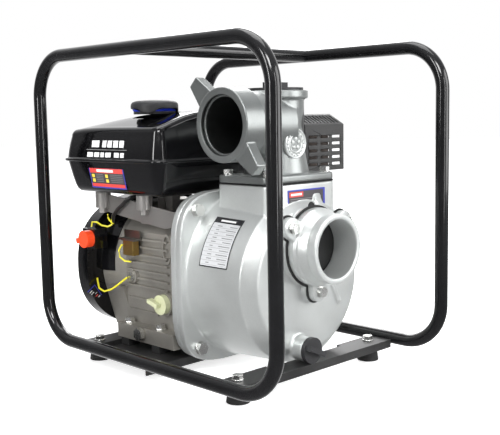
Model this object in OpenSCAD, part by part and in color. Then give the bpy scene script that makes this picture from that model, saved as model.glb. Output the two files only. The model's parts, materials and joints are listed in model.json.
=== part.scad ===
// Self-priming centrifugal water pump with a petrol engine in a tubular carrying frame.
// Millimetres. +Z is up, the shaft runs along Y, the suction port faces -Y and the outlet faces -X.
// The origin is on the ground, under the middle of the frame.

/* [Frame] */
// Length of a side loop along Y, between tube centres
frame_length = 496; // [490:1:510]
// Height of a side loop, between tube centres
frame_height = 430; // [428:1:450]
// Distance between the two side loops, between tube centres
frame_width = 341; // [340:1:350]
// Outside diameter of the frame tube
tube_d = 19; // [18:0.5:20]
// Wall thickness of the frame tube
tube_wall = 2; // [1.5:0.1:3]
// Centreline radius of the tube bends
bend_r = 62; // [50:1:70]
// Height of the lower tube centre above the ground
foot_height = 30; // [28:1:34]

/* [Pump] */
// Height of the shaft above the lower tube centre
shaft_height = 109; // [108:0.5:110]
// Sideways position of the shaft
shaft_x = 8; // [6:1:10]
// Outside radius of the pump casing at its front rim
casing_r = 118; // [116:1:119]
// Bore of the suction port and of the outlet
port_bore = 80; // [76:1:80]
// Height of the suction port above the shaft
suction_rise = 48; // [46:1:50]
// Radius of the impeller
impeller_r = 58; // [50:1:60]

/* [Engine] */
// Half of the piston stroke
half_stroke = 27; // [20:1:27]
// Tilt of the cylinder above the horizontal
cylinder_tilt = 25; // [22:1:28]
// Outside radius of the flywheel
flywheel_r = 84; // [76:1:86]

/* [Hidden] */
$fn = 72;

tube_r = tube_d / 2;
loop_x = frame_width / 2;
end_y = frame_length / 2;
low_z = foot_height;
high_z = foot_height + frame_height;
shaft_z = low_z + shaft_height;
port_r = port_bore / 2;
gap = 0.3;

// Crossmembers: a folded channel, with the feet bolted under it
cross_width = 40;
cross_top = 29;
cross_sheet = 3;
cross_lip = 12;
cross_front_y = -146;
cross_rear_y = 164;
foot_x = 135;
foot_front_y = -143;
foot_rear_y = 164;
foot_bolt_r = 4;

// Engine base
base_z = 22;
base_y = [8, 142];
pad_height = 12;
engine_z = base_z + pad_height;
mount_x = [-101, 73];
mount_y = [57, 131];
mount_seat_z = 56;

// Stations along the shaft, from the pump to the starter
flange_front_y = -20;
flange_joint_y = -8;
adapter_back_y = 4;
engine_face_y = 14;
cover_back_y = 24;
case_back_y = 148;
bell_back_y = 194;
shroud_back_y = 226;
recoil_back_y = 241;
rim_y = -123;
face_y = -140;
boss_y = -149;
rim_taper = 17;
casing_wall = 6;

// Pump flange outline and its four bolts
flange_half_w = 131;
flange_half_h = 124;
flange_power = 4.5;
flange_bolt_x = 99.5;
flange_bolt_z = 98.5;

// Casing neck and the discharge body on it
neck_half_w = 70;
neck_y = -80;
neck_half_d = 50;
neck_top_z = low_z + 243;
gasket_t = 1.5;
discharge_z = neck_top_z + gasket_t;
discharge_plate = 11;
barrel_r = 40;
barrel_wall = 6;
collar_z = low_z + 360;
collar_top_z = low_z + 371;
outlet_z = low_z + 325;
outlet_x = -94;
outlet_thread_r = 43.5;
neck_bolts = [[-58, -39], [58, -39], [-58, 39], [58, 39]];

// Suction port and its three bolts
suction_z = shaft_z + suction_rise;
suction_rim_y = -193;
suction_bolt_r = 62;
suction_bolt_angles = [30, 150, 270];
drain_x = -15;
drain_z = 47.5;
drain_boss_y = -160;

// Rotor
shaft_r = 10;
journal_r = 17.5;
seat_clearance = 0.05;

// Cylinder, measured along its own axis from the crankshaft
bore_r = 34;
cylinder_y = 85;
deck = 124;
head_end = 148;
cover_end = 166;

// Fuel tank
tank_x = [-136, 68];
tank_y = [10, 246];
tank_bottom_z = low_z + 224;
seam_z = low_z + 275;
shoulder_z = low_z + 322;
ridge_z = low_z + 344;
ridge_x = [-54, 44];
tank_corner = 20;
tank_wall = 2;
cap_x = -65;
cap_y = 101;
cap_r = 35.5;
cap_z = low_z + 342;

// Intake and exhaust boxes
shield_x = [86, 176];
shield_y = [-65, 35];
shield_z = [low_z + 252, low_z + 338];
shield_bevel = [28, 16];
cleaner_x = [84, 172];
cleaner_y = [62, 192];
cleaner_z = [low_z + 226, low_z + 316];

// Routes of the wires: each point is [x, y, z]
wire_r = 1.4;
wire_switch = [[-128, 186, 201.6], [-126, 186, 209], [-122, 180, 209], [-118, 173, 204],
               [-112, 166, 202], [-106, 162, 205], [-104, 163, 209]];
wire_coil = [[-104, 163, 207], [-107, 167, 211], [-107, 171, 215], [-106, 173, 220]];
wire_sensor = [[-116, 192.7, 119], [-119, 187, 114], [-122, 180, 106], [-121, 168, 102],
               [-116, 156, 106], [-110, 146, 114], [-106, 136, 122], [-103.6, 131, 126]];
wire_alert = [[-104, 133.5, 176], [-106, 140, 175], [-109, 143, 167], [-109, 141, 157],
              [-105, 134, 151], [-99, 126, 150]];
sleeve_r = 3;
sleeve = [[-94, 117, 249], [-101, 119, 249], [-106, 124, 244], [-106, 134, 237],
          [-106, 146, 230], [-106, 158, 219], [-104, 164, 207]];

// ---------- helpers ----------

// Cylinders along the three axes
module rod_x(r, x0, x1, y = 0, z = 0) {
    translate([x0, y, z]) rotate([0, 90, 0]) cylinder(r = r, h = x1 - x0);
}
module rod_y(r, y0, y1, x = shaft_x, z = shaft_z) {
    translate([x, y1, z]) rotate([90, 0, 0]) cylinder(r = r, h = y1 - y0);
}
module rod_z(r, z0, z1, x, y) {
    translate([x, y, z0]) cylinder(r = r, h = z1 - z0);
}
// Cone along Y: radius r0 at y0, r1 at y1
module cone_y(r0, r1, y0, y1, x = shaft_x, z = shaft_z) {
    translate([x, y1, z]) rotate([90, 0, 0]) cylinder(r1 = r1, r2 = r0, h = y1 - y0);
}
// A flat outline in X and Z, given thickness along Y
module slab_y(y0, y1) {
    translate([0, y1, 0]) rotate([90, 0, 0]) linear_extrude(y1 - y0) children();
}
// A flat outline in Y and Z, given thickness along X
module slab_x(x0, x1) {
    translate([x0, 0, 0]) rotate([90, 0, 90]) linear_extrude(x1 - x0) children();
}
module block(x, y, z) {
    translate([x[0], y[0], z[0]]) cube([x[1] - x[0], y[1] - y[0], z[1] - z[0]]);
}
// Block with rounded vertical edges, from plain solids only
module round_block(x, y, z, r) {
    block([x[0] + r, x[1] - r], y, z);
    block(x, [y[0] + r, y[1] - r], z);
    for (cx = [x[0] + r, x[1] - r], cy = [y[0] + r, y[1] - r]) rod_z(r, z[0], z[1], cx, cy);
}
module hex_z(across, z0, z1, x, y) {
    translate([x, y, z0]) cylinder(d = across / cos(30), h = z1 - z0, $fn = 6);
}
module hex_y(across, y0, y1, x, z) {
    translate([x, y1, z]) rotate([90, 0, 0]) cylinder(d = across / cos(30), h = y1 - y0, $fn = 6);
}
// Points of a rounded-square curve with half sizes a and b
function signed_pow(v, p) = sign(v) * pow(abs(v), p);
function squircle(a, b, n, count = 96) =
    [for (i = [0 : count - 1])
        let (t = 360 * i / count)
        [a * signed_pow(cos(t), 2 / n), b * signed_pow(sin(t), 2 / n)]];
module flange_outline(shrink = 0) {
    translate([shaft_x, shaft_z])
        polygon(squircle(flange_half_w - shrink, flange_half_h - shrink, flange_power));
}
module flange_holes(r, y0, y1) {
    for (sx = [-1, 1], sz = [-1, 1])
        rod_y(r, y0, y1, shaft_x + sx * flange_bolt_x, shaft_z + sz * flange_bolt_z);
}
// Round tube swept along a list of points
function unit(v) = v / norm(v);
function tangent(p, i) = unit(p[min(i + 1, len(p) - 1)] - p[max(i - 1, 0)]);
function side_of(t) = unit(cross(t, abs(t[2]) > 0.9 ? [0, 1, 0] : [0, 0, 1]));
module swept_tube(path, r, sides = 8) {
    points = [for (i = [0 : len(path) - 1])
        let (t = tangent(path, i), u = side_of(t), v = cross(t, u))
        for (k = [0 : sides - 1])
            path[i] + r * (cos(360 * k / sides) * u + sin(360 * k / sides) * v)];
    last = len(path) - 1;
    start_cap = [[for (k = [0 : sides - 1]) k]];
    end_cap = [[for (k = [sides - 1 : -1 : 0]) last * sides + k]];
    walls = [for (i = [0 : last - 1], k = [0 : sides - 1])
        let (a = i * sides + k, b = i * sides + (k + 1) % sides)
        [b, a, a + sides, b + sides]];
    polyhedron(points = points, faces = concat(start_cap, end_cap, walls), convexity = 4);
}
// Moves its children from the cylinder's own axes to the engine
module on_cylinder() {
    translate([shaft_x, 0, shaft_z]) rotate([0, -cylinder_tilt, 0]) children();
}

// ---------- frame ----------

module loop_sweep(r) {
    for (z = [low_z, high_z]) rod_y(r, -end_y + bend_r, end_y - bend_r, 0, z);
    for (y = [-end_y, end_y]) rod_z(r, low_z + bend_r, high_z - bend_r, 0, y);
    for (corner = [[1, 1, 0], [-1, 1, 90], [-1, -1, 180], [1, -1, 270]])
        translate([0, corner[0] * (end_y - bend_r),
                   (low_z + high_z) / 2 + corner[1] * (frame_height / 2 - bend_r)])
            rotate([90, 0, 90]) rotate([0, 0, corner[2]])
                rotate_extrude(angle = 90) translate([bend_r, 0]) circle(r = r);
}
module frame_loop(x) {
    translate([x, 0, 0]) difference() {
        loop_sweep(tube_r);
        loop_sweep(tube_r - tube_wall);
    }
}
module frame_loop_left() { color("#161616") frame_loop(-loop_x); }
module frame_loop_right() { color("#161616") frame_loop(loop_x); }

cross_tube_y = 11;
// The two loops' tubes as cutters, for parts that are welded against them
module loop_cutters(z, r = tube_r + 0.05) {
    for (x = [-loop_x, loop_x]) rod_y(r, -end_y, end_y, x, z);
}
module top_cross_tube() {
    color("#161616") difference() {
        rod_x(tube_r, -loop_x + 2, loop_x - 2, cross_tube_y, high_z);
        rod_x(tube_r - tube_wall, -loop_x, loop_x, cross_tube_y, high_z);
        loop_cutters(high_z);
    }
}
module crossmember(y, bolt_y) {
    difference() {
        block([-loop_x + 9, loop_x - 9], [y - cross_width / 2, y + cross_width / 2],
              [cross_top - cross_lip, cross_top]);
        block([-loop_x, loop_x],
              [y - cross_width / 2 + cross_sheet, y + cross_width / 2 - cross_sheet],
              [cross_top - cross_lip - 1, cross_top - cross_sheet]);
        for (x = [-foot_x, foot_x]) rod_z(foot_bolt_r + 0.3, 0, low_z + 1, x, bolt_y);
        loop_cutters(low_z);
    }
}
module front_crossmember() {
    color("#1b1c1c") difference() {
        crossmember(cross_front_y, foot_front_y);
        // Room for the casing behind it
        block([shaft_x - 75, shaft_x + 75], [-133.5, -100], [0, 60]);
    }
}
module rear_crossmember() { color("#1b1c1c") crossmember(cross_rear_y, foot_rear_y); }

module foot_places() {
    for (x = [-foot_x, foot_x], y = [foot_front_y, foot_rear_y]) translate([x, y, 0]) children();
}
module rubber_feet() {
    color("#202020") foot_places() difference() {
        union() {
            cylinder(r1 = 16, r2 = 14, h = 16);
            translate([0, 0, 16]) cylinder(r = 11, h = 3);
            translate([0, 0, 19]) cylinder(r = 14, h = cross_top - cross_sheet - 19 - 0.05);
        }
        translate([0, 0, -1]) cylinder(r = foot_bolt_r + 0.3, h = low_z);
        translate([0, 0, -1]) cylinder(r = 9, h = 9);
    }
}
module foot_bolts() {
    color("#b9bcbc") foot_places() {
        translate([0, 0, 2]) cylinder(d = 13 / cos(30), h = 5.95, $fn = 6);
        translate([0, 0, 7]) cylinder(r = foot_bolt_r, h = cross_top);
        translate([0, 0, cross_top + 0.05]) cylinder(r = 8, h = 1.5);
        translate([0, 0, cross_top + 1.5]) cylinder(d = 13 / cos(30), h = 6, $fn = 6);
    }
}
module mount_places() {
    for (x = mount_x, y = mount_y) translate([x, y, 0]) children();
}
module engine_base_plate() {
    rib_x = [-120, -40, 40, 120];
    color("#181919") difference() {
        union() {
            block([-loop_x + 4, loop_x - 4], base_y, [base_z - cross_sheet, base_z]);
            for (y = [base_y[0], base_y[1] - cross_sheet])
                block([-loop_x + 4, loop_x - 4], [y, y + cross_sheet], [base_z - 12, base_z]);
            for (x = rib_x)
                block([x - 2, x + 2], [base_y[0] + 1, base_y[1] - 1], [base_z - 9, base_z]);
        }
        mount_places() cylinder(r = 4.3, h = base_z + 1);
        loop_cutters(low_z);
    }
}
module engine_mount_pads() {
    color("#1a1a1a") mount_places() difference() {
        translate([-11, -9, base_z]) cube([22, 18, pad_height]);
        cylinder(r = 4.3, h = 60);
    }
}
drain_bolt_y = 88;
drain_bolt_z = 47;
module engine_bolts() {
    color("#b9bcbc") {
        mount_places() {
            translate([0, 0, 8]) cylinder(r = 4, h = mount_seat_z - 7);
            translate([0, 0, mount_seat_z]) cylinder(r = 9, h = 1.8);
            translate([0, 0, mount_seat_z + 1.8]) cylinder(d = 13 / cos(30), h = 6, $fn = 6);
            translate([0, 0, base_z - cross_sheet - 7]) cylinder(d = 13 / cos(30), h = 7, $fn = 6);
        }
        rod_x(4.2, -116, -108, drain_bolt_y, drain_bolt_z);
        translate([-121, drain_bolt_y, drain_bolt_z]) rotate([0, 90, 0])
            cylinder(d = 17 / cos(30), h = 5.95, $fn = 6);
        translate([-102, 126, 127]) rotate([0, 90, 0])
            cylinder(d = 12 / cos(30), h = 3.95, $fn = 6);
    }
}

// ---------- pump ----------

module pump_adapter() {
    seat_r = 22;
    color("#b4b6b4") difference() {
        union() {
            slab_y(flange_joint_y + 0.0, adapter_back_y) flange_outline(1);
            rod_y(70, adapter_back_y, engine_face_y);
            for (a = [45 : 90 : 315])
                rod_y(13, adapter_back_y, engine_face_y,
                      shaft_x + 62 * cos(a), shaft_z + 62 * sin(a));
        }
        rod_y(95, adapter_back_y - 7, adapter_back_y + 1);
        difference() {
            rod_y(52, adapter_back_y, engine_face_y + 1);
            rod_y(seat_r + 8, adapter_back_y - 8, engine_face_y + 1);
        }
        rod_y(shaft_r + 3, flange_joint_y - 1, engine_face_y + 1);
        rod_y(seat_r, flange_joint_y - 1, flange_joint_y + 7);
        flange_holes(5.2, flange_joint_y - 1, adapter_back_y + 1);
        for (a = [45 : 90 : 315])
            rod_y(4.3, adapter_back_y - 8, engine_face_y + 1,
                  shaft_x + 62 * cos(a), shaft_z + 62 * sin(a));
    }
}

back_r = casing_r + 6;
inner_r = casing_r - casing_wall;
chamber_back_y = -90;
eye_r = 30;
neck_low_z = shaft_z + 60;
// Outer body of the casing before it is hollowed
module casing_body() {
    cone_y(casing_r, back_r, rim_y, flange_front_y);
    cone_y(casing_r - rim_taper, casing_r, face_y, rim_y);
    slab_y(flange_front_y, flange_joint_y - 0.05) flange_outline();
    round_block([shaft_x - neck_half_w, shaft_x + neck_half_w],
                [neck_y - neck_half_d, neck_y + neck_half_d], [neck_low_z, neck_top_z], 9);
    rod_y(54, boss_y, face_y + 2, shaft_x, suction_z);
    for (a = suction_bolt_angles)
        rod_y(15, boss_y, face_y + 2,
              shaft_x + suction_bolt_r * cos(a), suction_z + suction_bolt_r * sin(a));
    rod_y(17, drain_boss_y, face_y + 12, drain_x, drain_z);
    // Rib from the neck down to the suction boss, and a low rib on the front face
    slab_x(30, 42) polygon([[-126, 256], [-131, 256], [-148, 226], [-148, 212], [-126, 212]]);
    slab_y(face_y - 2.5, face_y + 1) polygon([[53, 126], [59, 129], [74, 99], [68, 96]]);
}
// Suction chamber inside the casing: port above, impeller eye below
module chamber_outline(r) {
    translate([shaft_x, suction_z]) circle(r = r + 4);
    translate([shaft_x, shaft_z]) circle(r = r - 4);
    translate([shaft_x - r + 4, shaft_z]) square([2 * r - 8, suction_rise]);
}
module pump_casing() {
    color("#bfc1bf") difference() {
        union() {
            difference() {
                casing_body();
                cone_y(inner_r, inner_r + 5, rim_y - 2, flange_front_y);
                rod_y(inner_r + 5, flange_front_y - 0.5, flange_joint_y + 1);
                cone_y(inner_r - rim_taper, inner_r, face_y + casing_wall, rim_y - 2);
                round_block([shaft_x - neck_half_w + 8, shaft_x + neck_half_w - 8],
                            [neck_y - neck_half_d + 8, neck_y + neck_half_d - 8],
                            [neck_low_z - 5, neck_top_z + 1], 6);
            }
            intersection() {
                slab_y(face_y + casing_wall - 1, chamber_back_y) chamber_outline(51);
                cone_y(inner_r - 4, inner_r - 4, face_y, flange_front_y);
            }
        }
        slab_y(face_y + casing_wall - 1, chamber_back_y - 4) chamber_outline(46);
        rod_y(eye_r, chamber_back_y - 5, chamber_back_y + 1);
        rod_y(45, boss_y - 1, face_y + casing_wall, shaft_x, suction_z);
        flange_holes(5.2, flange_front_y - 1, flange_joint_y + 1);
        for (a = suction_bolt_angles)
            rod_y(4, boss_y - 1, face_y + 3,
                  shaft_x + suction_bolt_r * cos(a), suction_z + suction_bolt_r * sin(a));
        rod_y(10.3, drain_boss_y - 1, face_y + 14, drain_x, drain_z);
        for (b = neck_bolts)
            rod_z(4, neck_top_z - 18, neck_top_z + 1, shaft_x + b[0], neck_y + b[1]);
    }
}
module bolt_y(head_y, tip_y, x, z, r = 5, across = 16) {
    rod_y(r, head_y, tip_y, x, z);
    rod_y(across / 2 + 1.5, head_y - 1.8, head_y, x, z);
    hex_y(across, head_y - 8, head_y - 1.8, x, z);
}
module casing_bolts() {
    color("#c6c8c8") for (sx = [-1, 1], sz = [-1, 1])
        bolt_y(flange_front_y, adapter_back_y + 6,
               shaft_x + sx * flange_bolt_x, shaft_z + sz * flange_bolt_z);
}
module casing_seal() {
    color("#141414") translate([shaft_x, flange_joint_y - 2.6, shaft_z]) rotate([90, 0, 0])
        rotate_extrude() translate([inner_r + 2.3, 0]) circle(r = 2.4, $fn = 24);
}

// Spiral of the volute: radius grows with the angle
volute_r0 = 66;
volute_growth = 22;
volute_wall = 5;
function spiral(r0, growth, count = 90) =
    [for (i = [0 : count])
        let (t = 360 * i / count, r = r0 + growth * i / count)
        [r * cos(t), r * sin(t)]];
module volute_plan(extra) {
    translate([shaft_x, shaft_z]) polygon(spiral(volute_r0 + extra, volute_growth));
}
module volute() {
    back = flange_joint_y - 3;
    front = -62;
    color("#5b5d5d") difference() {
        union() {
            slab_y(front, back) volute_plan(0);
            rod_y(eye_r - 0.4, chamber_back_y - 3, front + 1);
            slab_y(front, back) translate([shaft_x + volute_r0 - 8, shaft_z])
                square([volute_growth + 8, 60]);
        }
        slab_y(front + volute_wall, back + 1) volute_plan(-volute_wall);
        rod_y(eye_r - 5, chamber_back_y - 4, front + volute_wall + 1);
        slab_y(front + volute_wall, back + 1)
            translate([shaft_x + volute_r0 - 3, shaft_z])
                square([volute_growth - 2, 70]);
    }
}
vane_count = 5;
vane_steps = 8;
// One backward-curved vane, seen along the shaft
function vane_point(k, side) =
    let (f = k / vane_steps, r = 13 + (impeller_r - 14.5) * f, a = 95 * f + side * 130 / r)
    [r * cos(a), r * sin(a)];
module impeller_vane() {
    polygon(concat([for (k = [0 : vane_steps]) vane_point(k, -1)],
                   [for (k = [vane_steps : -1 : 0]) vane_point(k, 1)]));
}
module impeller() {
    back = -15;
    color("#4a4c4c") difference() {
        union() {
            rod_y(impeller_r, back - 5, back);
            rod_y(17, back - 24, back - 1);
            rod_y(14, back - 32, back - 23);
            for (k = [0 : vane_count - 1])
                translate([shaft_x, back - 4, shaft_z]) rotate([0, k * 360 / vane_count + 7, 0])
                    rotate([90, 0, 0]) linear_extrude(23) impeller_vane();
        }
        rod_y(shaft_r + 0.02, back - 30, back + 1);
        rod_y(8, back - 33, back - 29);
    }
}
module seal_stationary() {
    color("#d8d4c8") difference() {
        rod_y(22 - 0.02, flange_joint_y + 0.4, flange_joint_y + 6.9);
        rod_y(shaft_r + 2.5, flange_joint_y - 1, flange_joint_y + 8);
    }
}
module seal_rotating() {
    color("#8e9090") difference() {
        union() {
            rod_y(16, -14.5, flange_joint_y);
            rod_y(19, -11, flange_joint_y);
        }
        rod_y(shaft_r + 0.02, -16, flange_joint_y + 1);
    }
}
module discharge_gasket() {
    color("#0e0e0e") difference() {
        round_block([shaft_x - neck_half_w - 1, shaft_x + neck_half_w + 1],
                    [neck_y - neck_half_d - 1, neck_y + neck_half_d + 1],
                    [neck_top_z, discharge_z], 10);
        rod_z(36, neck_top_z - 1, discharge_z + 1, shaft_x, neck_y);
        for (b = neck_bolts)
            rod_z(4.6, neck_top_z - 1, discharge_z + 1, shaft_x + b[0], neck_y + b[1]);
    }
}
flare_top_z = discharge_z + 46;
module discharge_body() {
    branch_r = 45.5;
    color("#bfc1bf") difference() {
        union() {
            round_block([shaft_x - neck_half_w, shaft_x + neck_half_w],
                        [neck_y - neck_half_d, neck_y + neck_half_d],
                        [discharge_z, discharge_z + discharge_plate], 10);
            rod_z(barrel_r, discharge_z, collar_z + 1, shaft_x, neck_y);
            translate([shaft_x, neck_y, discharge_z])
                cylinder(r1 = barrel_r + 8, r2 = barrel_r, h = flare_top_z - discharge_z);
            rod_z(45.5, collar_z, collar_top_z, shaft_x, neck_y);
            rod_x(branch_r, -58, shaft_x, neck_y, outlet_z);
            rod_x(outlet_thread_r, outlet_x + 3, -50, neck_y, outlet_z);
            rod_y(21, neck_y - barrel_r - 1.5, neck_y - 20, shaft_x - 2, low_z + 298);
        }
        rod_z(barrel_r - barrel_wall, discharge_z - 1, collar_z - 6, shaft_x, neck_y);
        rod_z(33, collar_z - 7, collar_top_z + 1, shaft_x, neck_y);
        rod_x(37.5, outlet_x, shaft_x, neck_y, outlet_z);
        for (b = neck_bolts)
            rod_z(4.6, discharge_z - 1, discharge_z + 20, shaft_x + b[0], neck_y + b[1]);
    }
}
module discharge_bolts() {
    seat = discharge_z + discharge_plate;
    color("#d0d2d2") for (b = neck_bolts) {
        rod_z(3.9, neck_top_z - 14, seat, shaft_x + b[0], neck_y + b[1]);
        rod_z(8, seat, seat + 1.6, shaft_x + b[0], neck_y + b[1]);
        hex_z(13, seat + 1.6, seat + 7.5, shaft_x + b[0], neck_y + b[1]);
    }
}
ring_r = 50.5;
ring_x = [-97, -60.5];
module outlet_ring_nut() {
    color("#b7b9b6") difference() {
        union() {
            rod_x(ring_r, ring_x[0], ring_x[1], neck_y, outlet_z);
            for (a = [45, 225])
                translate([0, neck_y, outlet_z]) rotate([a, 0, 0]) slab_x(ring_x[0] + 3, -78)
                    polygon([[42, -17], [84, -9], [84, 9], [42, 17]]);
        }
        rod_x(port_r, ring_x[0] - 1, ring_x[1] + 1, neck_y, outlet_z);
        rod_x(outlet_thread_r + gap, outlet_x + 2.5, ring_x[1] + 1, neck_y, outlet_z);
    }
}
module priming_cap() {
    color("#242525") {
        rod_z(39, collar_top_z + gap, collar_top_z + 4, shaft_x, neck_y);
        rod_z(32.6, collar_top_z - 12, collar_top_z + 2, shaft_x, neck_y);
        round_block([shaft_x - 21, shaft_x + 21], [neck_y - 6, neck_y + 6],
                    [collar_top_z + 2, collar_top_z + 12], 3);
    }
}

// Three-lobed outline of the suction flange
module lobed_outline(hub, lobe) {
    translate([shaft_x, suction_z]) {
        circle(r = hub);
        for (a = suction_bolt_angles) rotate(a) {
            translate([suction_bolt_r, 0]) circle(r = lobe);
            translate([0, -lobe]) square([suction_bolt_r, 2 * lobe]);
        }
    }
}
suction_plate_y = boss_y - 1.5;
module suction_gasket() {
    color("#0f0f0f") difference() {
        slab_y(suction_plate_y, boss_y) {
            lobed_outline(57, 17);
            translate([shaft_x - 5, suction_z + 56]) circle(r = 6);
        }
        rod_y(45.5, suction_plate_y - 1, boss_y + 1, shaft_x, suction_z);
        for (a = suction_bolt_angles)
            rod_y(4.6, suction_plate_y - 1, boss_y + 1,
                  shaft_x + suction_bolt_r * cos(a), suction_z + suction_bolt_r * sin(a));
    }
}
flap_y = boss_y;
module check_flap() {
    hinge_z = suction_z + 39.5;
    color("#1c1c1c") {
        rod_y(42.5, flap_y - gap, flap_y + 4, shaft_x, suction_z - 1);
        rod_y(28, flap_y + 4, flap_y + 9, shaft_x, suction_z - 2);
        rod_x(2.5, shaft_x - 12, shaft_x + 12, flap_y + 4, hinge_z);
    }
}
module suction_port() {
    plate_front = suction_plate_y - 10;
    color("#c3c5c3") difference() {
        union() {
            slab_y(plate_front, suction_plate_y) lobed_outline(54, 14.5);
            cone_y(46, 53, -178, plate_front + 1, shaft_x, suction_z);
            rod_y(45.5, -181, -170, shaft_x, suction_z);
            rod_y(52.5, plate_front - 3.5, plate_front + 1, shaft_x, suction_z);
            rod_y(48, suction_rim_y, -180, shaft_x, suction_z);
        }
        rod_y(port_r, suction_rim_y - 1, suction_plate_y + 1, shaft_x, suction_z);
        for (a = suction_bolt_angles)
            rod_y(4.6, plate_front - 1, suction_plate_y + 1,
                  shaft_x + suction_bolt_r * cos(a), suction_z + suction_bolt_r * sin(a));
    }
}
module suction_bolts() {
    seat = suction_plate_y - 10;
    color("#c9cbcb") for (a = suction_bolt_angles) {
        x = shaft_x + suction_bolt_r * cos(a);
        z = suction_z + suction_bolt_r * sin(a);
        rod_y(3.9, seat, face_y - 1, x, z);
        rod_y(8, seat - 1.6, seat, x, z);
        hex_y(13, seat - 7.5, seat - 1.6, x, z);
    }
}
module drain_plug() {
    seat = drain_boss_y;
    color("#2b2c2c") {
        rod_y(18, seat - 7, seat - gap, drain_x, drain_z);
        rod_y(10, seat - 4, face_y + 10, drain_x, drain_z);
        translate([drain_x, 0, drain_z]) rotate([0, 25, 0])
            block([-16, 16], [seat - 17, seat - 5], [-3.5, 3.5]);
    }
}

// ---------- engine ----------

case_outline = [[-112, engine_z], [-112, mount_seat_z], [-92, mount_seat_z], [-92, 196],
                [-80, 211], [34, 211], [62, 200], [62, mount_seat_z], [84, mount_seat_z],
                [84, engine_z]];
case_hollow = [[-85, 48], [-85, 193], [-77, 204], [31, 204], [55, 194], [55, 48]];
rib_count = 7;
rib_pitch = 12;
module crankcase() {
    color("#a39d94") difference() {
        union() {
            slab_y(cover_back_y, case_back_y) polygon(case_outline);
            // Bell behind the crankcase, towards the flywheel, with a skirt below
            intersection() {
                cone_y(99, 112, case_back_y - 1, bell_back_y);
                block([-200, 200], [cover_back_y, bell_back_y], [60, 235]);
            }
            slab_y(case_back_y - 1, bell_back_y)
                polygon([[-100, 108], [-81, 42], [62, 42], [84, 108]]);
            // Post of the throttle lever
            rod_z(8, 180, 236, 84, 165);
            rod_z(2.7, 235, 242, 84, 165);
            for (k = [0 : rib_count - 1])
                block([-96, -91], [44, case_back_y - 8],
                      [112 + k * rib_pitch, 115 + k * rib_pitch]);
            for (z = [74, 92]) block([-95, -91], [70, case_back_y - 8], [z, z + 3]);
            // Boss for the oil filler, one for the oil sensor, one for the side bolt
            rod_x(17, -99, -90, 49, 95);
            rod_x(10, -98, -90, 126, 127);
            rod_x(10, -115, -100, drain_bolt_y, drain_bolt_z);
            // Raised oval bead beside the cover
            difference() {
                slab_x(-96, -91) translate([44, 176]) scale([0.45, 1]) circle(r = 22);
                slab_x(-97, -91.5) translate([44, 176]) scale([0.4, 0.93]) circle(r = 20);
            }
            // Cylinder barrel with its fins
            on_cylinder() {
                rod_x(46, 30, deck, cylinder_y, 0);
                for (k = [0 : 5])
                    block([72 + k * 9, 75 + k * 9], [cylinder_y - 56, cylinder_y + 56],
                          [-56, 56]);
            }
        }
        slab_y(cover_back_y - 1, case_back_y - 12) polygon(case_hollow);
        intersection() {
            cone_y(92, 106, case_back_y + 8, bell_back_y + 1);
            block([-200, 200], [cover_back_y, bell_back_y + 2], [66, 231]);
        }
        slab_y(case_back_y + 8, bell_back_y + 1)
            polygon([[-92, 108], [-75, 48], [56, 48], [76, 108]]);
        on_cylinder() rod_x(bore_r, 20, deck + 1, cylinder_y, 0);
        rod_y(30, case_back_y - 16, case_back_y + 10);
        rod_x(11, -110, -80, 49, 95);
        rod_x(4.3, -116, -106, drain_bolt_y, drain_bolt_z);
        mount_places() cylinder(r = 4.3, h = mount_seat_z + 1);
    }
}
module crankcase_cover() {
    color("#a8a299") difference() {
        union() {
            slab_y(engine_face_y, cover_back_y - 0.05) polygon(case_outline);
            rod_y(36, cover_back_y - 1, cover_back_y + 12);
        }
        rod_y(30, engine_face_y + 3, cover_back_y + 13);
        rod_y(journal_r + 1, engine_face_y - 1, cover_back_y + 13);
        for (a = [45 : 90 : 315])
            rod_y(4, engine_face_y - 1, cover_back_y - 2,
                  shaft_x + 62 * cos(a), shaft_z + 62 * sin(a));
    }
}
module bearing(y0, y1) {
    difference() {
        rod_y(30 - 0.02, y0, y1);
        rod_y(journal_r + seat_clearance, y0 - 1, y1 + 1);
        difference() {
            rod_y(27, y0 - 1, y0 + 1.5);
            rod_y(20.5, y0 - 2, y0 + 2);
        }
        difference() {
            rod_y(27, y1 - 1.5, y1 + 1);
            rod_y(20.5, y1 - 2, y1 + 2);
        }
    }
}
module main_bearings() {
    color("#c4c6c8") {
        bearing(19, 34);
        bearing(case_back_y - 12, case_back_y + 3);
    }
}
crank_pin_r = 10;
module crank_web(y0, y1) {
    intersection() {
        rod_y(37, y0, y1);
        block([shaft_x - 24, shaft_x + 24], [y0, y1], [shaft_z - 60, shaft_z + 60]);
    }
}
module crankshaft() {
    color("#9a9c9e") {
        rod_y(shaft_r, -44, 15);
        rod_y(journal_r, 14.5, 58);
        crank_web(58, 71);
        rod_y(crank_pin_r, 70, 100, shaft_x, shaft_z + half_stroke);
        crank_web(99, 112);
        rod_y(journal_r, 112, 160);
        cone_y(15, 12, 160, 196);
        rod_y(8, 195, 214);
    }
}
module flywheel() {
    color("#6e7072") difference() {
        union() {
            rod_y(flywheel_r, 184, 196);
            rod_y(26, 179, 200);
            for (k = [0 : 15])
                translate([shaft_x, 0, shaft_z]) rotate([0, k * 22.5, 0])
                    block([58, flywheel_r - 2], [195, 210], [-1.5, 1.5]);
        }
        cone_y(15.02, 12.02, 160, 196);
        rod_y(12.02, 195, 201);
        rod_y(80, 177, 188);
        rod_y(11, 186, 197, shaft_x + 45);
    }
    color("#8a8c8e") difference() {
        rod_y(15, 200.02, 208);
        rod_y(8.02, 199, 209);
    }
}
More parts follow.
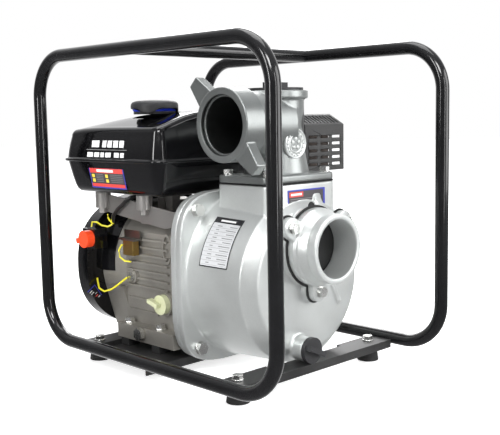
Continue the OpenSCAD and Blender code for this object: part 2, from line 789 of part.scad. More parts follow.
module piston() {
    color("#b9bbbd") on_cylinder() difference() {
        rod_x(bore_r - 0.06, 65, 95, cylinder_y, 0);
        rod_x(bore_r - 5, 64, 88, cylinder_y, 0);
        for (d = [90.5, 86.5]) difference() {
            rod_x(bore_r + 1, d, d + 1.5, cylinder_y, 0);
            rod_x(bore_r - 3, d - 1, d + 3, cylinder_y, 0);
        }
    }
}
module cylinder_head() {
    color("#a9a49c") on_cylinder() difference() {
        union() {
            block([deck + 0.05, head_end], [cylinder_y - 42, cylinder_y + 42], [-42, 42]);
            for (k = [0 : 2])
                block([deck + 2 + k * 8, deck + 5 + k * 8],
                      [cylinder_y - 56, cylinder_y + 56], [-56, 56]);
            rod_y(11.8, cylinder_y - 60, cylinder_y, deck + 12, 14);
            rod_y(11.8, cylinder_y, cylinder_y + 60, deck + 12, -12);
        }
        rod_x(30, deck - 1, deck + 7, cylinder_y, 0);
        rod_y(8, cylinder_y - 61, cylinder_y - 30, deck + 12, 14);
        rod_y(8, cylinder_y + 30, cylinder_y + 61, deck + 12, -12);
        rod_z(7.1, -60, -20, deck + 12, cylinder_y - 10);
    }
}
module valve_cover() {
    color("#1d1e1e") on_cylinder() {
        block([head_end + 0.05, head_end + 4], [cylinder_y - 38, cylinder_y + 38], [-38, 38]);
        block([head_end + 3, cover_end], [cylinder_y - 33, cylinder_y + 33], [-33, 33]);
        rod_x(4, cover_end - 1, cover_end + 4, cylinder_y, 22);
    }
}
module spark_plug() {
    color("#e6e4dc") on_cylinder() {
        rod_z(7, -62, -30, deck + 12, cylinder_y - 10);
        hex_z(20, -70, -61, deck + 12, cylinder_y - 10);
        rod_z(6, -84, -69, deck + 12, cylinder_y - 10);
    }
}
module plug_cap() {
    color("#191919") on_cylinder() difference() {
        union() {
            rod_z(9, -94, -72, deck + 12, cylinder_y - 10);
            rod_y(4, cylinder_y - 10, cylinder_y + 16, deck + 12, -89.5);
        }
        rod_z(6.05, -84.2, -70, deck + 12, cylinder_y - 10);
    }
}

// Fan shroud: a shell that follows a rounded curve about the shaft
shroud_a = 141;
shroud_b = 108;
shroud_power = 2.4;
shroud_front_y = 194.3;
shroud_wall = 5;
module shroud_outline(shrink) {
    translate([shaft_x, shaft_z])
        polygon(squircle(shroud_a - shrink, shroud_b - shrink, shroud_power));
}
module fan_shroud() {
    color("#101112") difference() {
        union() {
            slab_y(shroud_front_y, shroud_back_y - 6) shroud_outline(0);
            slab_y(shroud_back_y - 6, shroud_back_y - 3) shroud_outline(2);
            slab_y(shroud_back_y - 3, shroud_back_y) shroud_outline(6);
            // Housing of the engine switch
            block([-137, -114], [165, 197], [170, 200]);
            // Cover over the upper left side of the bell
            difference() {
                intersection() {
                    cone_y(107.5, 114.7, 170, 196);
                    block([-140, -50], [169, 197], [131, 240]);
                }
                cone_y(105.14, 112.75, 169, 196.5);
            }
        }
        slab_y(shroud_front_y + 3, shroud_back_y - 2.5) shroud_outline(shroud_wall);
        rod_y(109, shroud_front_y - 1, shroud_front_y + 4);
        rod_y(84, shroud_back_y - 4, shroud_back_y + 1);
        rod_x(4.3, -140, -112, switch_y, switch_z);
    }
}
recoil_r = 92;
rope_exit = [shaft_x + 52, 0, shaft_z + 58];
module recoil_housing() {
    color("#151617") difference() {
        union() {
            rod_y(recoil_r + 6, shroud_back_y + 0.05, shroud_back_y + 3);
            rod_y(recoil_r, shroud_back_y + 0.05, recoil_back_y - 4);
            cone_y(recoil_r, recoil_r - 5, recoil_back_y - 4, recoil_back_y);
            rod_y(13, recoil_back_y - 10, recoil_back_y, rope_exit[0], rope_exit[2]);
        }
        rod_y(recoil_r - 3, shroud_back_y - 1, recoil_back_y - 3);
        for (k = [0 : 11]) translate([shaft_x, 0, shaft_z]) rotate([0, k * 30, 0])
            block([54, 84], [recoil_back_y - 5, recoil_back_y + 1], [-3.5, 3.5]);
        rod_y(4, recoil_back_y - 11, recoil_back_y + 1, rope_exit[0], rope_exit[2]);
    }
    color("#151617") rod_y(5, recoil_back_y - 20, recoil_back_y - 2);
}
reel_r = 42;
module starter_reel() {
    color("#2a2b2c") difference() {
        union() {
            rod_y(reel_r + 4, recoil_back_y - 18, recoil_back_y - 16);
            rod_y(reel_r - 8, recoil_back_y - 18, recoil_back_y - 7);
            rod_y(reel_r + 4, recoil_back_y - 8.5, recoil_back_y - 6.5);
        }
        rod_y(5 + gap, recoil_back_y - 19, recoil_back_y);
    }
}
module starter_rope() {
    color("#d9d6cc") translate([shaft_x, recoil_back_y - 8.7, shaft_z]) rotate([90, 0, 0])
        rotate_extrude() for (row = [0 : 1])
            translate([reel_r - 7.95 + row * 5, 0]) square([4.9, 7.1]);
}
module starter_grip() {
    front = recoil_back_y + 0.5;
    color("#1a1a1b") {
        rod_x(6.5, rope_exit[0] - 32, rope_exit[0] + 32, front + 9, rope_exit[2]);
        rod_y(9, front, front + 8, rope_exit[0], rope_exit[2]);
        rod_y(3, recoil_back_y - 12, front + 4, rope_exit[0], rope_exit[2]);
    }
}
module oil_alert_unit() {
    color("#b9933f") round_block([-110, -98], [106, 132], [162, 184], 2);
    color("#8b877f") {
        block([-111, -96.05], [102, 140], [184, 187]);
        block([-100, -97.9], [102, 140], [187, 199]);
        block([-97.9, -96.05], [134, 140], [175.5, 185]);
        block([-97.9, -92], [134, 140], [175.5, 183.9]);
    }
}
switch_y = 177;
switch_z = 185.5;
module switch_knob() {
    color("#e23a1c") {
        rod_x(13, -150, -137 - gap, switch_y, switch_z);
        rod_x(4, -140, -118, switch_y, switch_z);
        translate([0, switch_y, switch_z]) rotate([-12, 0, 0])
            block([-149, -139], [0, 21], [-4, 4]);
    }
}
module engine_wires() {
    color("#d9d32a") {
        swept_tube(wire_switch, wire_r);
        swept_tube(wire_coil, wire_r);
        swept_tube(wire_sensor, wire_r);
        swept_tube(wire_alert, wire_r);
    }
    color("#161616") swept_tube(sleeve, sleeve_r);
}

// Rounded rectangle in X and Y, inset from the tank's seam
module tank_plan(inset, z, thickness) {
    r = max(tank_corner - inset / 2, 6);
    translate([0, 0, z]) linear_extrude(thickness) hull()
        for (x = [tank_x[0] + inset + r, tank_x[1] - inset - r],
             y = [tank_y[0] + inset + r, tank_y[1] - inset - r])
            translate([x, y]) circle(r = r, $fn = 32);
}
module seam_flange(z0, z1) {
    difference() {
        round_block([tank_x[0] - 4, tank_x[1] + 4], [tank_y[0] - 4, tank_y[1] + 4],
                    [z0, z1], tank_corner + 8);
        round_block([tank_x[0] + 1, tank_x[1] - 1], [tank_y[0] + 1, tank_y[1] - 1],
                    [z0 - 1, z1 + 1], tank_corner - 1);
    }
}
module tank_lower_shell() {
    color("#0c0d0e") {
        difference() {
            hull() {
                tank_plan(16, tank_bottom_z, 1);
                tank_plan(4, tank_bottom_z + 12, 1);
                tank_plan(0, seam_z - 1, 1);
            }
            hull() {
                tank_plan(18, tank_bottom_z + tank_wall, 1);
                tank_plan(6, tank_bottom_z + 13, 1);
                tank_plan(2, seam_z, 1);
            }
        }
        seam_flange(seam_z - 1.5, seam_z);
    }
}
module ridge_plan(inset, z) {
    translate([0, 0, z]) linear_extrude(1) hull()
        for (x = [ridge_x[0] + inset + 8, ridge_x[1] - inset - 8],
             y = [tank_y[0] + 14 + inset + 8, tank_y[1] - 20 - inset - 8])
            translate([x, y]) circle(r = 8, $fn = 32);
}
module tank_upper_shell() {
    color("#0c0d0e") difference() {
        union() {
            difference() {
                hull() {
                    tank_plan(0, seam_z, 1);
                    tank_plan(5, shoulder_z - 8, 1);
                    tank_plan(9, shoulder_z - 1, 1);
                    tank_plan(24, shoulder_z + 8, 1);
                    ridge_plan(0, ridge_z);
                }
                hull() {
                    tank_plan(2, seam_z - 1, 1);
                    tank_plan(7, shoulder_z - 9, 1);
                    tank_plan(11, shoulder_z - 3, 1);
                    tank_plan(26, shoulder_z + 6, 1);
                    ridge_plan(2, ridge_z - 2);
                }
            }
            seam_flange(seam_z + 0.05, seam_z + 1.5);
            rod_z(24, seam_z + 40, cap_z + 6, cap_x, cap_y);
        }
        difference() {
            rod_z(cap_r + 3, cap_z - 2, ridge_z + 5, cap_x, cap_y);
            rod_z(24, cap_z - 3, cap_z + 6, cap_x, cap_y);
        }
        rod_z(20, seam_z + 30, cap_z + 7, cap_x, cap_y);
    }
}
module fuel_cap() {
    top = low_z + 363;
    color("#1a1b1d") difference() {
        union() {
            rod_z(cap_r - 3, cap_z, cap_z + 8, cap_x, cap_y);
            rod_z(cap_r, cap_z + 7, cap_z + 16, cap_x, cap_y);
            translate([cap_x, cap_y, cap_z + 16])
                cylinder(r1 = cap_r, r2 = cap_r - 9, h = top - cap_z - 16);
        }
        rod_z(24 + gap, cap_z - 1, cap_z + 6 + gap, cap_x, cap_y);
    }
}
module tank_bracket() {
    post_y = [82, 186];
    post_x = -104;
    color("#a8a7a4") {
        // Strap along the side, falling towards the pump
        slab_x(-101, -98) polygon([[14, 212], [14, 232], [186, 251], [198, 251], [198, 226],
                                   [186, 224], [96, 213], [40, 207]]);
        for (y = post_y) {
            rod_z(12, y > 100 ? 230 : 233, tank_bottom_z - 0.05, post_x, y);
            hex_z(12, y > 100 ? 222 : 225, 234, post_x, y);
        }
        block([-101, 30], [14, 17], [211.05, 232]);
        block([-101, 40], [60, 96], [211.05, 214]);
        for (x = [-60, 20], y = [70, 88]) block([x - 8, x + 8], [y - 8, y + 8],
                                                [213, tank_bottom_z - 0.05]);
    }
}
module carburettor() {
    color("#a9abac") {
        rod_y(15, 145.05, 151, 136, 186);
        block([118, 152], [150, 172], [170, 204]);
        rod_z(15, 146, 171, 136, 161);
        rod_z(12, 203, 262, 136, 161);
        block([136, 152], [150, 160], [148, 160]);
        rod_x(1.7, 151, 160, 166, 190);
        rod_x(1.7, 151, 160, 155, 154);
    }
}
module lever(x, y, z, angle, length) {
    translate([x, y, z]) rotate([angle, 0, 0]) {
        difference() {
            union() {
                rod_x(5, 0, 5, 0, 0);
                block([1, 4], [0, length], [-3, 3]);
                rod_x(5, 0, 9, length, 0);
            }
            rod_x(2, -1, 6, 0, 0);
        }
    }
}
module choke_lever() { color("#202122") lever(152.4, 166, 190, 20, 30); }
module fuel_valve_lever() { color("#202122") lever(152.4, 155, 154, 0, 24); }
module throttle_lever() {
    color("#9c9ea0") translate([84, 165, 236.3]) rotate([0, 0, 50]) {
        difference() {
            union() {
                cylinder(r = 9, h = 3);
                translate([0, -5, 0]) cube([34, 10, 3]);
            }
            translate([0, 0, -1]) cylinder(r = 3, h = 6);
        }
    }
}
module air_cleaner_base() {
    x = cleaner_x;
    y = cleaner_y;
    color("#1b1c1d") difference() {
        union() {
            round_block(x, y, [cleaner_z[0], cleaner_z[0] + 14], 12);
            rod_z(13, cleaner_z[0] + 10, cleaner_z[1] - 7, 128, 127);
        }
        rod_z(12.1, cleaner_z[0] - 1, cleaner_z[0] + 15, 136, 161);
        rod_z(10, cleaner_z[0] + 4, cleaner_z[1] - 12, 128, 127);
    }
}
module filter_element() {
    color("#d8cfa8") difference() {
        rod_z(38, cleaner_z[0] + 14.1, cleaner_z[1] - 16, 128, 112);
        rod_z(22, cleaner_z[0] + 13, cleaner_z[1] - 15, 128, 119);
    }
}
module air_cleaner_cover() {
    x = cleaner_x;
    y = cleaner_y;
    base = cleaner_z[0] + 14.05;
    color("#141516") difference() {
        union() {
            round_block(x, y, [base, cleaner_z[1] - 4], 14);
            round_block([x[0] + 5, x[1] - 5], [y[0] + 5, y[1] - 5],
                        [cleaner_z[1] - 5, cleaner_z[1]], 10);
        }
        round_block([x[0] + 3, x[1] - 3], [y[0] + 3, y[1] - 3],
                    [base - 1, cleaner_z[1] - 7], 11);
    }
    color("#141516") {
        rod_z(10, cleaner_z[1] - 0.5, cleaner_z[1] + 8, 128, 127);
        block([112, 144], [124.5, 129.5], [cleaner_z[1], cleaner_z[1] + 12]);
    }
}
module muffler() {
    color("#4b4743") {
        round_block([94, 163], [-52, 29], [shield_z[0] + 6, shield_z[1] - 22], 14);
        rod_z(9, 209, shield_z[0] + 8, 125, 15);
        rod_y(9, 15, 20, 125, 209);
        block([104, 146], [19, 24.95], [192, 228]);
        // Studs that carry the heat shield
        for (x = [112, 148]) rod_z(4, shield_z[1] - 24, shield_z[1] - 1.5, x, -4);
    }
}
slot_rows = 5;
slot_pitch = 10.4;
module muffler_shield() {
    x = shield_x;
    y = shield_y;
    z = shield_z;
    t = 1.5;
    profile = [[y[0], z[0]], [y[0], z[1] - shield_bevel[1]], [y[0] + shield_bevel[0], z[1]],
               [y[1], z[1]], [y[1], z[0]]];
    inner = [[y[0] + t, z[0] - 1], [y[0] + t, z[1] - shield_bevel[1] - t],
             [y[0] + shield_bevel[0] + t, z[1] - t], [y[1] + 1, z[1] - t], [y[1] + 1, z[0] - 1]];
    slope = atan2(shield_bevel[1], shield_bevel[0]);
    color("#17181a") difference() {
        slab_x(x[0], x[1]) polygon(profile);
        slab_x(x[0] + t, x[1] - t) polygon(inner);
        for (row = [0 : slot_rows - 1], col = [0 : 2])
            slot_x(x[0] + 8 + col * 27, x[0] + 28 + col * 27, y[0],
                   z[0] + 10 + row * slot_pitch);
        translate([0, y[0], z[1] - shield_bevel[1]]) rotate([slope, 0, 0])
            for (k = [0 : 9])
                block([x[0] + 8 + k * 8, x[0] + 11.6 + k * 8], [5, 27], [-4, 1]);
        // Open windows in both sides
        slab_x(x[0] - 1, x[1] + 1) polygon([[y[0] + 8, z[0] + 6], [y[0] + 8, z[1] - 20],
                                            [y[0] + 28, z[1] - 9], [y[1] - 5, z[1] - 9],
                                            [y[1] - 5, z[0] + 6]]);
    }
}
// Slot with round ends through a face that looks along Y
module slot_x(x0, x1, y, z) {
    block([x0 + 2, x1 - 2], [y - 1, y + 3], [z - 2, z + 2]);
    for (x = [x0 + 2, x1 - 2]) rod_y(2, y - 1, y + 3, x, z);
}
module oil_filler_cap() {
    color("#d8dcae") {
        rod_x(14.5, -108, -99 - gap, 49, 95);
        rod_x(10.7, -100, -84, 49, 95);
        translate([0, 49, 95]) rotate([15, 0, 0]) block([-116, -107], [-3, 20], [-3, 3]);
    }
}

frame_loop_left();
frame_loop_right();
top_cross_tube();
front_crossmember();
rear_crossmember();
engine_base_plate();
rubber_feet();
foot_bolts();
engine_mount_pads();
engine_bolts();
pump_adapter();
pump_casing();
casing_bolts();
casing_seal();
volute();
impeller();
seal_stationary();
seal_rotating();
discharge_gasket();
discharge_body();
discharge_bolts();
outlet_ring_nut();
priming_cap();
suction_gasket();
check_flap();
suction_port();
suction_bolts();
drain_plug();
crankcase();
crankcase_cover();
main_bearings();
crankshaft();
flywheel();
piston();
cylinder_head();
valve_cover();
spark_plug();
plug_cap();
fan_shroud();
recoil_housing();
starter_reel();
starter_rope();
starter_grip();
oil_alert_unit();
switch_knob();
engine_wires();
tank_lower_shell();
tank_upper_shell();
fuel_cap();
tank_bracket();
carburettor();
choke_lever();
throttle_lever();
fuel_valve_lever();
air_cleaner_base();
filter_element();
air_cleaner_cover();
muffler();
muffler_shield();
oil_filler_cap();
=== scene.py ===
import json
import math

import bmesh
import bpy
from mathutils import Matrix, Vector


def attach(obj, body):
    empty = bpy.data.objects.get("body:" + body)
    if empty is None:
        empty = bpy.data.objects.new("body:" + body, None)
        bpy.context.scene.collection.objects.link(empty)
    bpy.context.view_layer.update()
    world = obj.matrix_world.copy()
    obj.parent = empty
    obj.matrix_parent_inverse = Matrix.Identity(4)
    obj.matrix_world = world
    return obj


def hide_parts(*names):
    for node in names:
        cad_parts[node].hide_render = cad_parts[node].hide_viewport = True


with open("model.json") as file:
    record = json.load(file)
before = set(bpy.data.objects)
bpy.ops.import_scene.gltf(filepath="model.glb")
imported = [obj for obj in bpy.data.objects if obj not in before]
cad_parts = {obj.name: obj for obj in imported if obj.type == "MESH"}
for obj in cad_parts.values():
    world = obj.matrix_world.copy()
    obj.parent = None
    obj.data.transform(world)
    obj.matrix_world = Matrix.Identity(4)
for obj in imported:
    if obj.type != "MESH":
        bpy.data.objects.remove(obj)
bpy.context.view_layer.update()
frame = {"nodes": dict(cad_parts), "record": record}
nodes = frame["nodes"]
MAIN = "frame_and_engine"
MM = 0.001

# Camera, fitted to the photograph's angle (metres and degrees)
CAMERA_AT = (-0.8871, -0.9401, 0.3656)
CAMERA_YAW, CAMERA_PITCH, CAMERA_ROLL = -44.35, 6.57, -1.02
CAMERA_LENS, SENSOR_WIDTH, FAR_CLIP = 62.95, 36, 50

# Soft boxes: name, place, width, power, height when it is not square (metres, watts)
LIGHTS = (
    ("key", (-1.7, -1.6, 2.1), 0.9, 46, None),
    ("strip_left", (-2.4, -0.1, 1.1), 0.3, 24, 1.6),
    ("fill", (1.3, -2.2, 0.9), 1.8, 44, None),
    ("strip_front", (-0.5, -2.6, 0.7), 0.25, 12, 1.6),
    ("top", (0.1, 0.1, 2.4), 1.6, 26, None),
    ("rim", (1.8, 1.8, 1.6), 1.2, 24, None),
)
LIGHT_TARGET = (0, 0, 0.2)
RIM_TARGET = (0, 0, 0.25)

# Places on the pump, in mm
SHAFT_X, SHAFT_Z = 8, 139
SUCTION_Z = 187
OUTLET_AT = (0, -80, 355)
CAP_AT = (-65, 101, 0)
BADGE_AT = (4, 0, 328)
NECK_FRONT_Y = -130
CASING_RADIUS, CASING_FLARE = 118, 6

# Heights of the layers of ink on a sticker, in mm
PAPER, PANEL, PRINT, TOP_PRINT = 0.3, 0.45, 0.6, 0.75


# ---------------------------------------------------------------- camera, light, floor
def camera():
    """Perspective camera that looks along yaw and pitch, turned by roll about its view."""
    yaw, pitch, roll = (math.radians(a) for a in (CAMERA_YAW, CAMERA_PITCH, CAMERA_ROLL))
    f = Vector((-math.sin(yaw) * math.cos(pitch), math.cos(yaw) * math.cos(pitch), -math.sin(pitch)))
    r = f.cross(Vector((0, 0, 1))).normalized()
    u = r.cross(f)
    r2 = math.cos(roll) * r + math.sin(roll) * u
    u2 = -math.sin(roll) * r + math.cos(roll) * u
    m = Matrix((r2, u2, -f)).transposed().to_4x4()
    m.translation = Vector(CAMERA_AT)
    cam = bpy.data.objects.new("camera", bpy.data.cameras.new("camera"))
    cam.data.lens = CAMERA_LENS
    cam.data.sensor_width = SENSOR_WIDTH
    cam.data.clip_end = FAR_CLIP
    cam.matrix_world = m
    bpy.context.scene.collection.objects.link(cam)
    bpy.context.scene.camera = cam


def area(name, at, target, size, power, size_y=None):
    """Soft box at a place, turned to its target."""
    d = bpy.data.lights.new(name, "AREA")
    d.energy = power
    d.size = size
    if size_y:
        d.shape = "RECTANGLE"
        d.size_y = size_y
    o = bpy.data.objects.new(name, d)
    o.location = at
    o.rotation_euler = (Vector(target) - Vector(at)).to_track_quat("-Z", "Y").to_euler()
    bpy.context.scene.collection.objects.link(o)


def studio():
    """World graded from floor to ceiling and brighter behind the pump, soft boxes, floor and backdrop."""
    w = bpy.data.worlds.new("studio")
    bpy.context.scene.world = w
    w.use_nodes = True
    nt = w.node_tree
    bg = nt.nodes["Background"]
    tc = nt.nodes.new("ShaderNodeTexCoord")
    sep = nt.nodes.new("ShaderNodeSeparateXYZ")
    ramp = nt.nodes.new("ShaderNodeValToRGB")
    half = nt.nodes.new("ShaderNodeMath")
    half.operation = "MULTIPLY_ADD"
    half.inputs[1].default_value = 0.5
    half.inputs[2].default_value = 0.5
    nt.links.new(tc.outputs["Generated"], sep.inputs[0])
    nt.links.new(sep.outputs[2], half.inputs[0])
    nt.links.new(half.outputs[0], ramp.inputs[0])
    ramp.color_ramp.elements[0].position = 0.0
    ramp.color_ramp.elements[0].color = (0.30, 0.30, 0.305, 1)
    ramp.color_ramp.elements[1].position = 1.0
    ramp.color_ramp.elements[1].color = (0.66, 0.67, 0.69, 1)
    for at, v in ((0.42, 0.22), (0.54, 0.16), (0.70, 0.34)):
        e = ramp.color_ramp.elements.new(at)
        e.color = (v, v, v * 1.02, 1)
    behind = nt.nodes.new("ShaderNodeMath")
    behind.operation = "ADD"
    nt.links.new(sep.outputs[0], behind.inputs[0])
    nt.links.new(sep.outputs[1], behind.inputs[1])
    glow = nt.nodes.new("ShaderNodeMapRange")
    glow.inputs["From Min"].default_value = 0.5
    glow.inputs["From Max"].default_value = 1.25
    glow.inputs["To Max"].default_value = 0.8
    nt.links.new(behind.outputs[0], glow.inputs["Value"])
    total = nt.nodes.new("ShaderNodeVectorMath")
    total.operation = "ADD"
    nt.links.new(ramp.outputs[0], total.inputs[0])
    nt.links.new(glow.outputs[0], total.inputs[1])
    nt.links.new(total.outputs[0], bg.inputs[0])
    bg.inputs[1].default_value = 1.0
    for name, at, size, power, height in LIGHTS:
        area(name, at, RIM_TARGET if name == "rim" else LIGHT_TARGET, size, power, height)
    floor_mat = bpy.data.materials.new("floor")
    floor_mat.use_nodes = True
    b = floor_mat.node_tree.nodes["Principled BSDF"]
    b.inputs["Base Color"].default_value = (0.93, 0.93, 0.93, 1)
    b.inputs["Roughness"].default_value = 0.9
    b.inputs["Specular IOR Level"].default_value = 0.1
    b.inputs["Emission Color"].default_value = (1, 1, 1, 1)
    b.inputs["Emission Strength"].default_value = 0.72
    bpy.ops.mesh.primitive_plane_add(size=24, location=(0, 0, -0.0005))
    floor = bpy.context.object
    floor.name = "floor"
    floor.data.materials.append(floor_mat)
    floor.visible_glossy = False
    back_mat = bpy.data.materials.new("backdrop")
    back_mat.use_nodes = True
    nt = back_mat.node_tree
    nt.nodes.remove(nt.nodes["Principled BSDF"])
    e = nt.nodes.new("ShaderNodeEmission")
    e.inputs[0].default_value = (1, 1, 1, 1)
    e.inputs[1].default_value = 1.0
    nt.links.new(e.outputs[0], nt.nodes["Material Output"].inputs[0])
    bpy.ops.mesh.primitive_cylinder_add(radius=11.5, depth=14, location=(0, 0, 6.5),
                                        end_fill_type="NOTHING", vertices=64)
    back = bpy.context.object
    back.name = "backdrop"
    back.data.materials.append(back_mat)
    back.visible_glossy = False
    back.visible_diffuse = False
    back.visible_shadow = False
    bpy.context.scene.view_settings.view_transform = "Standard"


# ---------------------------------------------------------------- materials
def material(name, color, rough=0.5, metal=0.0, spec=0.5, coat=0.0, coat_rough=0.05,
             tint=0.06, blotch=14.0, grain=700.0, bump=0.0, bump_size=0.0005, rough_var=0.08):
    """Procedural finish: broad tonal blotches, fine grain in colour, roughness and relief."""
    m = bpy.data.materials.new(name)
    m.use_nodes = True
    nt = m.node_tree
    b = nt.nodes["Principled BSDF"]
    b.inputs["Metallic"].default_value = metal
    b.inputs["Specular IOR Level"].default_value = spec
    b.inputs["Coat Weight"].default_value = coat
    b.inputs["Coat Roughness"].default_value = coat_rough
    tc = nt.nodes.new("ShaderNodeTexCoord")
    broad = nt.nodes.new("ShaderNodeTexNoise")
    broad.inputs["Scale"].default_value = blotch
    broad.inputs["Detail"].default_value = 5
    fine = nt.nodes.new("ShaderNodeTexNoise")
    fine.inputs["Scale"].default_value = grain
    fine.inputs["Detail"].default_value = 3
    nt.links.new(tc.outputs["Object"], broad.inputs["Vector"])
    nt.links.new(tc.outputs["Object"], fine.inputs["Vector"])
    mixn = nt.nodes.new("ShaderNodeMath")
    mixn.operation = "MULTIPLY_ADD"
    mixn.inputs[1].default_value = 0.35
    nt.links.new(fine.outputs["Fac"], mixn.inputs[0])
    half = nt.nodes.new("ShaderNodeMath")
    half.operation = "MULTIPLY"
    half.inputs[1].default_value = 0.65
    nt.links.new(broad.outputs["Fac"], half.inputs[0])
    nt.links.new(half.outputs[0], mixn.inputs[2])
    ramp = nt.nodes.new("ShaderNodeValToRGB")
    lo = [max(0.0, c * (1 - 2.2 * tint)) for c in color]
    hi = [min(1.0, c * (1 + 1.2 * tint)) for c in color]
    ramp.color_ramp.elements[0].position = 0.33
    ramp.color_ramp.elements[0].color = (*lo, 1)
    ramp.color_ramp.elements[1].position = 0.62
    ramp.color_ramp.elements[1].color = (*hi, 1)
    nt.links.new(mixn.outputs[0], ramp.inputs[0])
    nt.links.new(ramp.outputs[0], b.inputs["Base Color"])
    rr = nt.nodes.new("ShaderNodeMapRange")
    rr.inputs["From Min"].default_value = 0.3
    rr.inputs["From Max"].default_value = 0.7
    rr.inputs["To Min"].default_value = max(0.02, rough - rough_var)
    rr.inputs["To Max"].default_value = min(1.0, rough + rough_var)
    nt.links.new(mixn.outputs[0], rr.inputs["Value"])
    nt.links.new(rr.outputs[0], b.inputs["Roughness"])
    if bump > 0:
        bm = nt.nodes.new("ShaderNodeBump")
        bm.inputs["Strength"].default_value = bump
        bm.inputs["Distance"].default_value = bump_size
        nt.links.new(fine.outputs["Fac"], bm.inputs["Height"])
        nt.links.new(bm.outputs[0], b.inputs["Normal"])
    return m


FINISHES = {
    "frame_paint": dict(color=(0.005, 0.005, 0.0055), rough=0.16, spec=0.35, coat=0.4, tint=0.2,
                        grain=300, rough_var=0.04),
    "sheet_paint": dict(color=(0.022, 0.022, 0.022), rough=0.42, spec=0.5, tint=0.2, grain=900,
                        bump=0.25, bump_size=0.0002),
    "rubber": dict(color=(0.02, 0.02, 0.02), rough=0.65, spec=0.3, tint=0.15, grain=1200, bump=0.2,
                   bump_size=0.0002),
    "zinc": dict(color=(0.80, 0.80, 0.78), rough=0.26, metal=1.0, tint=0.08, grain=1500, rough_var=0.1),
    "steel": dict(color=(0.55, 0.55, 0.55), rough=0.3, metal=1.0, tint=0.08, grain=900, rough_var=0.1),
    "cast_alu": dict(color=(0.60, 0.62, 0.61), rough=0.35, metal=0.68, spec=0.5, tint=0.07, blotch=9,
                     grain=1100, bump=0.3, bump_size=0.0003),
    "cast_alu_deep": dict(color=(0.30, 0.315, 0.31), rough=0.36, metal=0.85, spec=0.5, tint=0.09,
                          blotch=12, grain=1100, bump=0.3, bump_size=0.0003),
    "engine_alu": dict(color=(0.33, 0.315, 0.285), rough=0.42, metal=0.6, tint=0.1, blotch=16,
                       grain=900, bump=0.35, bump_size=0.0004),
    "iron": dict(color=(0.09, 0.09, 0.09), rough=0.6, metal=0.5, tint=0.15, grain=700, bump=0.4,
                 bump_size=0.0006),
    "ceramic": dict(color=(0.8, 0.78, 0.7), rough=0.3, tint=0.03),
    "black_plastic": dict(color=(0.022, 0.022, 0.024), rough=0.5, tint=0.15, grain=1300, bump=0.25,
                          bump_size=0.0002),
    "red_plastic": dict(color=(0.78, 0.06, 0.012), rough=0.32, tint=0.05, grain=400, bump=0.05),
    "cream_plastic": dict(color=(0.55, 0.57, 0.36), rough=0.42, tint=0.05, grain=500, bump=0.08),
    "tank_paint": dict(color=(0.003, 0.003, 0.0036), rough=0.1, spec=0.3, coat=0.45, coat_rough=0.03,
                       tint=0.1, grain=250, rough_var=0.03),
    "brass": dict(color=(0.5, 0.33, 0.11), rough=0.35, metal=1.0, tint=0.15, grain=600, rough_var=0.12),
    "wire": dict(color=(0.75, 0.68, 0.03), rough=0.35, tint=0.06),
    "rope": dict(color=(0.6, 0.58, 0.52), rough=0.8, tint=0.1, grain=800, bump=0.5, bump_size=0.0005),
    "filter": dict(color=(0.5, 0.42, 0.22), rough=0.9, tint=0.1, grain=600, bump=0.8, bump_size=0.001),
    "hot_steel": dict(color=(0.12, 0.10, 0.09), rough=0.55, metal=0.8, tint=0.25, blotch=20, grain=500,
                      bump=0.2),
    "bare_sheet": dict(color=(0.40, 0.385, 0.37), rough=0.36, metal=0.8, tint=0.08, blotch=12,
                       grain=900, bump=0.12, bump_size=0.0002),
}
M = {name: material(name, **finish) for name, finish in FINISHES.items()}


def painted_bore_shade(name, base, centre, axis, radius, shade_amount=0.16):
    """Copy of a finish with painted shade: it turns dark and dull inside a bore round one axis."""
    m = base.copy()
    m.name = name
    nt = m.node_tree
    b = nt.nodes["Principled BSDF"]
    tc = nt.nodes.new("ShaderNodeTexCoord")
    flat = nt.nodes.new("ShaderNodeVectorMath")
    flat.operation = "MULTIPLY_ADD"
    keep = [0.0 if i == axis else 1.0 for i in range(3)]
    flat.inputs[1].default_value = keep
    flat.inputs[2].default_value = [-centre[i] * keep[i] * MM for i in range(3)]
    length = nt.nodes.new("ShaderNodeVectorMath")
    length.operation = "LENGTH"
    # Painted shade: the finish's colour is darkened inside the bore's radius
    bore_shade_mask = nt.nodes.new("ShaderNodeMapRange")
    bore_shade_mask.inputs["From Min"].default_value = (radius - 0.8) * MM
    bore_shade_mask.inputs["From Max"].default_value = (radius + 0.6) * MM
    bore_shade_mask.inputs["To Min"].default_value = shade_amount
    bore_shade_mask.inputs["To Max"].default_value = 1.0
    old = b.inputs["Base Color"].links[0].from_socket
    scale = nt.nodes.new("ShaderNodeVectorMath")
    scale.operation = "SCALE"
    nt.links.new(tc.outputs["Object"], flat.inputs[0])
    nt.links.new(flat.outputs[0], length.inputs[0])
    nt.links.new(length.outputs["Value"], bore_shade_mask.inputs["Value"])
    nt.links.new(old, scale.inputs[0])
    nt.links.new(bore_shade_mask.outputs[0], scale.inputs["Scale"])
    nt.links.new(scale.outputs[0], b.inputs["Base Color"])
    return m


